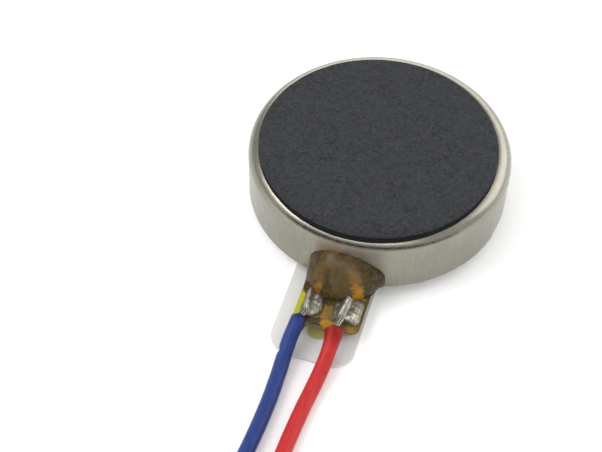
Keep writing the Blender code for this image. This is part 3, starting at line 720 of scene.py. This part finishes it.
def disc_on_cap(rings, columns, uneven=None):
    """Rings of (radius, height) that sink with the foam, closed in the middle on both sides.

    uneven takes a ring's number and a point on it, and returns how far the point moves out and up."""
    bm = bmesh.new()
    rows = []
    for index, (radius, height) in enumerate(rings):
        row = []
        for k in range(columns):
            turn = 2 * math.pi * k / columns
            spot = (radius * math.cos(turn), radius * math.sin(turn), height)
            out, up = uneven(index, spot) if uneven else (0.0, 0.0)
            x = (radius + out) * math.cos(turn)
            y = (radius + out) * math.sin(turn) + FOAM_CENTRE.y
            row.append(bm.verts.new((x, y, height + up - droop(x, y, height))))
        rows.append(row)
    skin(bm, rows, close=True)
    cap_row(bm, rows[0], (0, FOAM_CENTRE.y, rings[0][1]))
    cap_row(bm, rows[-1], (0, FOAM_CENTRE.y, rings[-1][1]))
    return bm


def foam_tape():
    """The thin tape under the foam, which sinks with it."""
    low, high = box_mm("foam_adhesive")
    radii = [(high.x - low.x) / 2 * i / 16 for i in range(1, 17)]
    rings = [(r, high.z) for r in radii] + [(r, low.z) for r in reversed(radii)]
    bm = disc_on_cap(rings, 160)
    made = film("foam_tape_film", (0.10, 0.10, 0.09), (0.20, 0.20, 0.18), 1.0, 1.2, 0.01)
    return finish_mesh("foam_tape", bm, [made], ["foam_adhesive"], sharp=60)


def foam_rings():
    """The foam's rings from its middle over its rounded edge and down its side, and the edge's first one."""
    radius = (FOAM_HIGH.x - FOAM_LOW.x) / 2
    low, high = FOAM_LOW.z, FOAM_HIGH.z
    edge = FOAM_EDGE
    rings = [(radius * (1 - (1 - i / 34) ** 1.25), high) for i in range(1, 34)]
    rings = [(r, z) for r, z in rings if r < radius - edge * 1.2]
    rings += [(radius - edge + x, high - edge + z) for x, z in arc(0, 0, edge, 90, 0, 5)]
    edge_start = len(rings) - 6
    rings += [(radius, low + (high - low - edge) * (1 - i / 5)) for i in range(1, 6)]
    return rings, edge_start


def foam():
    """A die-cut disc: flat top with tiny unevenness, a soft top edge and a slightly ragged side."""
    rings, edge_start = foam_rings()
    top = FOAM_HIGH.z

    def uneven(index, spot):
        out = 0.0
        up = 0.0
        if index >= edge_start:
            out = 0.010 * wobble(spot, 3.0, 2) + 0.006 * wobble(spot, 9.0)
        if index <= edge_start + 7:
            up = 0.006 * wobble(spot, 1.1, 4) + 0.003 * wobble(spot, 7.0)
        return out, up

    bm = disc_on_cap(rings, 300, uneven)
    for face in bm.faces:
        spot = face.calc_center_median()
        if spot.z + droop(spot.x, spot.y, top) < top - FOAM_EDGE * 0.8:
            face.material_index = 1
    piece = finish_mesh("foam_disc", bm, [foam_skin(), foam_cut()], ["foam_pad"], sharp=60)
    return piece


# ---------------------------------------------------------------- tongue side

# The glue's height on the cap's wall at its peak, and above its foot at its two ends.
GLUE_TOP = 2.24
GLUE_LEFT_HEIGHT = 0.86
GLUE_RIGHT_HEIGHT = 0.62
GLUE_PEAK_X = -0.12
GLUE_FOOT = FLEX_HIGH.z + 0.006
# How far the glue stands out from the wall at its peak, and how much less at its two ends.
GLUE_REACH = 1.02
GLUE_LEFT_LESS = 0.46
GLUE_RIGHT_LESS = 0.66
# From this share of its way out it is a film, this long and high.
GLUE_FILM_START = 0.8
GLUE_FILM_LENGTH = 0.42
GLUE_FILM_HEIGHT = 0.05


def glue_slice(t):
    """x, height at the wall, and y at the wall, at the foot and at the film's end, for t from -1 to 1."""
    spread = math.sin(t * math.pi / 2)
    right = spread > 0
    x = GLUE_PEAK_X + spread * (GLUE_HIGH.x - GLUE_PEAK_X if right else GLUE_PEAK_X - GLUE_LOW.x)
    blunt = math.sqrt(max(0.0, 1 - abs(t) ** 9))
    arch = max(0.0, math.cos(spread * math.pi / 2)) ** 0.72
    end = (GLUE_RIGHT_HEIGHT if right else GLUE_LEFT_HEIGHT) * (0.25 + 0.75 * blunt)
    peak = GLUE_FOOT + end + (GLUE_TOP - GLUE_FOOT - end) * arch
    back = -math.sqrt((CAP_RADIUS + 0.004) ** 2 - x**2)
    reach = GLUE_REACH - (GLUE_RIGHT_LESS if right else GLUE_LEFT_LESS) * abs(spread) ** 2.6
    belly = back - reach * (0.55 + 0.45 * blunt)
    front = belly - GLUE_FILM_LENGTH * (1 - 0.55 * abs(t) ** 3)
    return x, peak, back, belly, front


def glue_points(t, s):
    """The point on the glue's surface and the one under it, at a share s of its way out."""
    x, peak, back, belly, front = glue_slice(t)
    if s < GLUE_FILM_START:
        turn = s / GLUE_FILM_START * math.pi / 2
        y = back + (belly - back) * math.sin(turn)
        z = GLUE_FOOT + GLUE_FILM_HEIGHT + (peak - GLUE_FOOT - GLUE_FILM_HEIGHT) * math.cos(turn) ** 1.40
    else:
        share = (s - GLUE_FILM_START) / (1 - GLUE_FILM_START)
        y = belly + (front - belly) * share
        z = GLUE_FOOT + GLUE_FILM_HEIGHT - 0.042 * share
    narrow = (0.24 if x > 0 else 0.01) * max(0.0, s - 0.35) / 0.65
    side = x * (1 - narrow)
    lumps = 0.07 * wobble((side, y, z), 0.9, 3) + 0.02 * wobble((side, y, z), 2.6, 8)
    z += lumps * math.sin(math.pi * min(1, s * 1.25))
    past = max(0.0, abs(side) - FLEX_RIGHT)
    under = math.copysign(abs(side) - 0.7 * past, side)
    return (side, y, z), (under, y, GLUE_FOOT - 0.10 * min(1.0, past / 0.2))


def glue_dome():
    """A fillet that climbs the cap's wall, highest near its middle, and thins out over the flex circuit."""
    across, out = 48, 34
    bm = bmesh.new()
    tops, feet = [], []
    for i in range(across + 1):
        points = [glue_points(-1 + 2 * i / across, j / out) for j in range(out + 1)]
        pairs = [(bm.verts.new(top), bm.verts.new(foot)) for top, foot in points]
        tops.append([top for top, foot in pairs])
        feet.append([foot for top, foot in pairs])
    skin(bm, tops)
    skin(bm, feet)
    for i in (0, -1):
        skin(bm, [tops[i], feet[i]])
    for i in (0, -1):
        skin(bm, [[row[i] for row in tops], [row[i] for row in feet]])
    return finish_mesh("glue_dome", bm, [glue()], ["glue_bead"], sharp=70)


def solder_flow(side, bundle_x, slant, seed):
    """Solder that has flowed over its whole pad, thick along the strands that come in from the lead."""
    low, high = box_mm("solder_joint_" + side)
    pad_low, pad_high = box_mm("solder_pad_" + side)
    centre, size = (pad_low + pad_high) / 2, (pad_high - pad_low) / 2
    height = high.z - low.z
    rings, columns = 30, 72
    squareness = 3.4

    def place(share, turn):
        across, along = math.cos(turn), math.sin(turn)
        square = (abs(across) ** squareness + abs(along) ** squareness) ** (-1 / squareness)
        ripple = 0.045 * math.cos(3 * turn + seed) + 0.035 * math.cos(5 * turn + 2 * seed)
        x = size.x * share * square * (1.02 + ripple) * across
        y = size.y * share * square * (1.02 + ripple) * along
        off = (x - bundle_x - slant * y) / 0.12
        ridge = math.exp(-off * off)
        ridge += 0.50 * math.exp(-((off - 2.6) ** 2) * 0.5) * (0.6 - 0.6 * along * share)
        lumps = 0.15 * wobble((x, y * 0.6, seed), 2.6, seed) + 0.05 * wobble((x, y, seed), 6.5, seed)
        rise = height * max(0.0, 1 - share**4) ** 0.6
        return centre.x + x, centre.y + y, low.z - 0.01 + rise * (0.24 + 0.55 * ridge + lumps)

    bm = bmesh.new()
    rows = []
    for i in range(rings + 1):
        share = math.sin(i / rings * math.pi / 2) if i else 0.02
        rows.append([bm.verts.new(place(share, 2 * math.pi * k / columns)) for k in range(columns)])
    skin(bm, rows, close=True)
    cap_row(bm, rows[0], (centre.x, centre.y, sum(v.co.z for v in rows[0]) / columns))
    cap_row(bm, rows[-1], (centre.x, centre.y, low.z - 0.02))
    return finish_mesh("solder_" + side, bm, [SOLDER_METAL], ["solder_joint_" + side], sharp=70)


# Axis points of the leads, from the flex circuit to the stripped end.
LEAD_RADIUS = 0.275
LEAD_ROUTES = {
    "blue": [
        (-0.96, -7.16, 0.87),
        (-0.98, -7.50, 0.84),
        (-1.05, -8.07, 0.64),
        (-1.06, -8.75, 0.42),
        (-1.05, -9.50, 0.31),
        (-1.04, -10.50, 0.285),
        (-1.10, -12.00, 0.285),
        (-1.24, -13.60, 0.285),
        (-1.42, -15.20, 0.285),
        (-1.60, -16.80, 0.285),
        (-1.72, -18.30, 0.285),
        (-1.78, -19.60, 0.285),
    ],
    "red": [
        (0.38, -7.28, 0.87),
        (0.42, -7.75, 0.79),
        (0.38, -8.55, 0.50),
        (0.27, -9.50, 0.31),
        (0.15, -10.60, 0.285),
        (0.05, -12.10, 0.285),
        (0.02, -13.60, 0.285),
        (0.08, -15.20, 0.285),
        (0.22, -16.80, 0.285),
        (0.40, -18.20, 0.285),
        (0.56, -19.30, 0.285),
    ],
}
# How far from its start the blue lead is creased.
CREASE_PLACE = 1.45
STRANDS = 7
STRAND_RADIUS = 0.042
# The strands of the stripped ends and of the solder joints: how far they sink, and their turns of twist.
TIP_LENGTH = 1.50
TIP_DROP = 0.14
TIP_TWIST = 0.9
JOINT_DROP = 0.16
JOINT_TWIST = 0.12


def lead(side, made, flare, soft, slant=0.0, crease=0.0):
    """Insulation of a lead, with a start rounded over the length soft and flared, and a cut end."""
    path = smooth_path(LEAD_ROUTES[side], 0.13)
    length = sum((b - a).length for a, b in zip(path, path[1:]))

    def radius(share, turn):
        along = share * length
        start = math.sqrt(max(0.0, 1 - (1 - min(1.0, along / soft)) ** 2)) * 0.45 + 0.55
        end = 0.88 + 0.12 * min(1.0, (length - along) / 0.06)
        swell = 1 + flare * math.exp(-((along / 0.42) ** 2))
        pinch = math.exp(-(((along - CREASE_PLACE) / 0.07) ** 2))
        swell -= crease * pinch * (1.4 - math.cos(turn))
        spot = (math.cos(turn) * 0.3, along, math.sin(turn) * 0.3)
        uneven = 1 + 0.022 * wobble(spot, 1.4, flare * 20)
        return LEAD_RADIUS * min(1.0, start) * min(1.0, end) * swell * uneven

    bm = bmesh.new()
    tube(bm, path, 28, radius, slant)
    finish_mesh("insulation_" + side, bm, [made], ["lead_" + side], sharp=50)
    way = path[-1] - path[-2]
    tip = "lead_" + side + "_tip"
    strands(side + "_stripped_end", path[-1], way, TIP_LENGTH, TIP_DROP, TIP_TWIST, TINNED, [tip])


def strands(name, start, way, length, drop, twist, made, nodes):
    """Strands twisted together, six round one. They sink by drop over their length."""
    steps = 24
    way = way.normalized()
    end = start + way * length - Vector((0, 0, drop))
    inside = way * 0.10
    spine = [start - inside + (end - start + inside) * (i / steps) for i in range(steps + 1)]
    bm = bmesh.new()
    for k in range(STRANDS):
        path = []
        for i, (point, side, up) in enumerate(frames_along(spine)):
            turn = 2 * math.pi * (k / (STRANDS - 1) + twist * i / steps)
            fan = 1 + 0.35 * (i / steps) ** 3
            reach = 0 if k == STRANDS - 1 else STRAND_RADIUS * 1.95 * fan
            path.append(point + side * math.cos(turn) * reach + up * math.sin(turn) * reach)
        tube(bm, path, 10, lambda share, turn: STRAND_RADIUS)
    return finish_mesh(name, bm, [made], nodes, sharp=60)


def joint_wire(side, way, length):
    """The strands between a lead's insulation and its solder."""
    start = Vector(LEAD_ROUTES[side][0]) + Vector((0, 0.02, 0))
    return strands(side + "_joint_wire", start, way, length, JOINT_DROP, JOINT_TWIST, SOLDER_METAL, [])


def leads():
    # The third colour of each lead is the painted shade near its start.
    blue = insulation(
        "blue_plastic", (0.011, 0.026, 0.135), (0.020, 0.042, 0.185), (0.008, 0.014, 0.075), -7.2, -7.6
    )
    red = insulation(
        "red_plastic", (0.37, 0.015, 0.016), (0.45, 0.026, 0.026), (0.225, 0.004, 0.002), -7.7, -8.2
    )
    lead("blue", blue, flare=0.03, soft=0.14, crease=0.075)
    lead("red", red, flare=0.32, soft=0.03, slant=-0.02)
    joint_wire("blue", Vector((0.30, 1, 0)), 0.50)
    joint_wire("red", Vector((0.16, 1, 0)), 0.66)


def liner():
    """Translucent liner with a pull tab, almost flat."""
    radius = LINER_HIGH.x
    end = LINER_LOW.y
    start = -90 + math.degrees(math.asin(TAB_RIGHT / radius))
    stop = 270 + math.degrees(math.asin(TAB_LEFT / radius))
    left, right = TAB_CORNER_LEFT, TAB_CORNER_RIGHT
    sides = (-5.0, -5.8, -6.6)
    outline = arc(0, 0, radius, start, stop, 120)
    outline += [(TAB_LEFT + 0.02, y) for y in sides]
    outline += arc(TAB_LEFT + left + 0.02, end + left + 0.02, left, 180, 270, 12)
    outline += [(-0.6, end + 0.02), (0.0, end)]
    outline += arc(TAB_RIGHT - right - 0.02, end + right + 0.02, right, -90, 0, 12)
    outline += [(TAB_RIGHT, y) for y in reversed(sides)]
    bm = bmesh.new()
    slab(bm, [outline], 0.0, LINER_HIGH.z, 0.02)
    return finish_mesh("liner", bm, [liner_film()], ["release_liner"], sharp=50)


def flex():
    """Polyimide circuit with its inner ring, neck and lobed end."""
    end = FLEX_LOW.y
    left, right = FLEX_CORNER_LEFT, FLEX_CORNER_RIGHT
    outline = arc(0, 0, FLEX_RING_RADIUS, -90 + FLEX_NECK_ANGLE, 270 - FLEX_NECK_ANGLE, 60)
    outline += [(-1.0, -5.02), (-1.06, -5.14), (-1.18, -5.20), (FLEX_LEFT, -5.32)]
    outline += arc(FLEX_LEFT + left, end + left, left, 180, 270, 8)
    outline += arc(FLEX_ARCH_X, end, FLEX_ARCH_RADIUS, 180, FLEX_ARCH_END, 18)
    outline += arc(FLEX_RIGHT - right, FLEX_END_RIGHT + right, right, -90, 0, 12)
    outline += [(FLEX_RIGHT, -5.36), (1.12, -5.18), (1.0, -5.02)]
    hole = arc(0, 0, FLEX_HOLE_RADIUS, 0, 360, 48)[:-1]
    bm = bmesh.new()
    slab(bm, [outline, hole], FLEX_LOW.z, FLEX_HIGH.z, 0.012)
    return finish_mesh("flex_strip", bm, [polyimide()], ["flex_circuit"], sharp=50)


# ---------------------------------------------------------------- inside the can

BORE_RADIUS = 0.43
COIL_RADII = (0.40, 1.15)
COIL_WIRE = 0.06
# Depth of the grooves between the coils' turns, as a share of the wire.
COIL_GROOVE = 0.35
RING_COLUMNS = 96
COIL_COLUMNS = 48


def turned_ring(name, node, inner, outer, chamfer, made, body="stator"):
    """A turned ring with broken edges, or a pin where inner is 0."""
    low, high = box_mm(node)
    bottom, top = low.z, high.z
    below = [(outer - chamfer, bottom), (outer, bottom + chamfer)]
    above = [(outer, top - chamfer), (outer - chamfer, top)]
    profile = [(inner, bottom + chamfer), (inner + chamfer, bottom), *below]
    profile += [*above, (inner + chamfer, top), (inner, top - chamfer)]
    if not inner:
        profile = [(0.0, bottom), *below, *above, (0.0, top)]
    bm = bmesh.new()
    lathe(bm, profile, even_angles(RING_COLUMNS))
    bmesh.ops.remove_doubles(bm, verts=bm.verts, dist=0.0001)
    return finish_mesh(name, bm, [made], [node], body, sharp=30)


def coil(node, made):
    """A wound coil: its outside and its faces show the turns of wire."""
    low, high = box_mm(node)
    centre = (low + high) / 2
    inner, outer = COIL_RADII
    turns = round((high.z - low.z) / COIL_WIRE)
    layers = round((outer - inner) / COIL_WIRE)
    pitch, wire = (high.z - low.z) / turns, (outer - inner) / layers
    shares = (0.0, 0.25, 0.5, 0.75)

    def groove(size, k):
        return COIL_GROOVE * size * (1 - math.sin(math.pi * k))

    profile = [(outer - groove(pitch, k), low.z + pitch * (i + k)) for i in range(turns) for k in shares]
    profile += [(outer - wire * (i + k), high.z - groove(wire, k)) for i in range(layers) for k in shares]
    profile += [(inner, high.z - 0.02), (inner, low.z + 0.02)]
    shares = (0.25, 0.5, 0.75, 1.0)
    under = [(wire * (i + k) - 0.001, groove(wire, k)) for i in range(layers) for k in shares]
    profile += [(inner + out, low.z + rise) for out, rise in under]
    bm = bmesh.new()
    lathe(bm, profile, even_angles(COIL_COLUMNS))
    bmesh.ops.translate(bm, vec=(centre.x, centre.y, 0), verts=bm.verts)
    return finish_mesh(node + "_winding", bm, [made], [node], "rotor", sharp=80)


def inside_pieces():
    """The turned and wound pieces, which have meshes of their own."""
    magnet = metal("nickel_magnet", (0.36, 0.36, 0.36), (0.50, 0.49, 0.47), 0.35, 3)
    wire = metal("enamelled_wire", (0.42, 0.14, 0.05), (0.66, 0.28, 0.10), 0.28, 5, (6, 6, 1))
    bronze = metal("sintered_bronze", (0.38, 0.25, 0.10), (0.58, 0.40, 0.18), 0.42, 12)
    pin = metal("ground_steel", (0.58, 0.58, 0.57), (0.74, 0.74, 0.73), 0.14, 3, (1, 1, 8), 0.001)
    nylon = plastic("washer_nylon", (0.74, 0.70, 0.60), (0.86, 0.83, 0.74), 0.45)
    turned_ring("magnet_ring", "ring_magnet", 1.80, 4.15, 0.06, magnet)
    turned_ring("shaft_pin", "shaft", 0, 0.40, 0.06, pin)
    turned_ring("washer_low", "lower_washer", BORE_RADIUS, 0.80, 0.015, nylon)
    turned_ring("washer_high", "upper_washer", BORE_RADIUS, 0.80, 0.015, nylon)
    turned_ring("bush", "bearing_bush", BORE_RADIUS, 0.72, 0.05, bronze, "rotor")
    coil("coil_left", wire)
    coil("coil_right", wire)


# ---------------------------------------------------------------- carried-over CAD nodes


def paint(nodes, made):
    """Gives carried-over CAD nodes their material."""
    for node in nodes:
        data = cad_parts[node].data
        data.materials.clear()
        data.materials.append(made)


def paint_nodes():
    paint(["base_plate"], base_steel())
    paint(["base_adhesive"], film("tape_film", (0.70, 0.70, 0.66), (0.82, 0.82, 0.78), 0.45, 1.2, 0.02))
    cement = plastic("magnet_cement", (0.34, 0.27, 0.14), (0.52, 0.44, 0.27), 0.35, 3)
    paint(["magnet_adhesive"], cement)
    pad = plastic("fluxed_pad", (0.085, 0.062, 0.026), (0.165, 0.125, 0.062), 0.30, 5)
    paint(["solder_pad_blue", "solder_pad_red"], pad)
    spring = metal("spring_copper", (0.66, 0.42, 0.20), (0.84, 0.60, 0.34), 0.22, 5, (4, 0.5, 1))
    paint(["brush_left", "brush_right"], spring)
    paint(["rotor_board"], plastic("board_laminate", (0.012, 0.10, 0.035), (0.03, 0.17, 0.07), 0.38))
    tungsten = metal("sintered_tungsten", (0.20, 0.20, 0.21), (0.34, 0.34, 0.35), 0.45, 9)
    paint(["counterweight"], tungsten)
    paint(["rotor_resin"], plastic("moulded_resin", (0.018, 0.018, 0.020), (0.045, 0.045, 0.050), 0.50, 7))
    gold = metal("gold_flash", (0.72, 0.50, 0.18), (0.88, 0.68, 0.30), 0.20, 7)
    paint([f"commutator_segment_{i}" for i in range(1, 7)], gold)


# ---------------------------------------------------------------- the whole

SOLDER_METAL = solder()
TINNED = metal("tinned_strand", (0.62, 0.61, 0.58), (0.78, 0.77, 0.74), 0.22, 8)

add_camera()
add_stage()
cap()
foam_tape()
foam()
liner()
flex()
glue_dome()
solder_flow("blue", -0.17, -0.10, 0.6)
solder_flow("red", -0.16, 0.08, 2.1)
leads()
paint_nodes()
inside_pieces()
